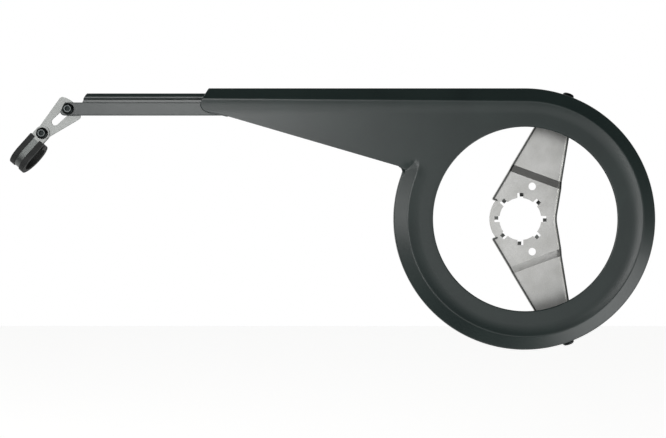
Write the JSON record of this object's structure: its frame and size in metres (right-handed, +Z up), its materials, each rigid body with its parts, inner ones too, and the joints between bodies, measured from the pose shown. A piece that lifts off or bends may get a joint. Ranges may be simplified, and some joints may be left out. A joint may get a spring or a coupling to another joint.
{
  "type": "bicycle chain guard",
  "caption": "Chain guard with a ring round the chainring, a long tail over the chain, a bottom bracket bracket, and a stay with a rubber lined chainstay clip",
  "frame": {"origin": "centre of the bracket's bore on the face that meets the bottom bracket shell", "axes": "+X to the front wheel, +Z up, -Y away from the bicycle, out of the guard's face"},
  "size_m": [0.5279, 0.0378, 0.2124],
  "materials": {
    "moulded_shell": "dark slate, fine satin grain",
    "bracket_steel": "bare stainless sheet",
    "zinc_steel": "zinc plated",
    "black_screw": "black zinc",
    "clip_liner": "soft black"
  },
  "bodies": {
    "guard": {"guard_shell": "moulded_shell", "frame_bracket": "bracket_steel", "upper_rim_screw": "black_screw", "upper_rim_nut": "zinc_steel", "lower_rim_screw": "black_screw", "lower_rim_nut": "zinc_steel", "rear_stay": "moulded_shell", "front_fixing_screw": "black_screw", "rear_fixing_screw": "black_screw"},
    "stay_bolt": {"stay_screw": "black_screw", "stay_washer": "zinc_steel", "stay_nut": "zinc_steel"},
    "link": {"slotted_link": "zinc_steel"},
    "clip": {"clip_band": "zinc_steel", "clip_rubber": "clip_liner", "clip_screw": "black_screw", "clip_washer": "zinc_steel", "clip_nut": "zinc_steel"}
  },
  "joints": [
    {"name": "stay_pivot", "type": "hinge", "parent": "guard", "child": "stay_bolt", "pos_m": [-0.3708, -0.017, 0.08955], "axis": [0, 1, 0], "range_deg": [-30, 30]},
    {"name": "link_slide", "type": "slide", "parent": "stay_bolt", "child": "link", "axis": [0.7373, 0, 0.6756], "range_m": [0, 0.0152]},
    {"name": "clip_pivot", "type": "hinge", "parent": "link", "child": "clip", "pos_m": [-0.39233, -0.016, 0.06982], "axis": [0, 1, 0], "range_deg": [-40, 40]}
  ]
}
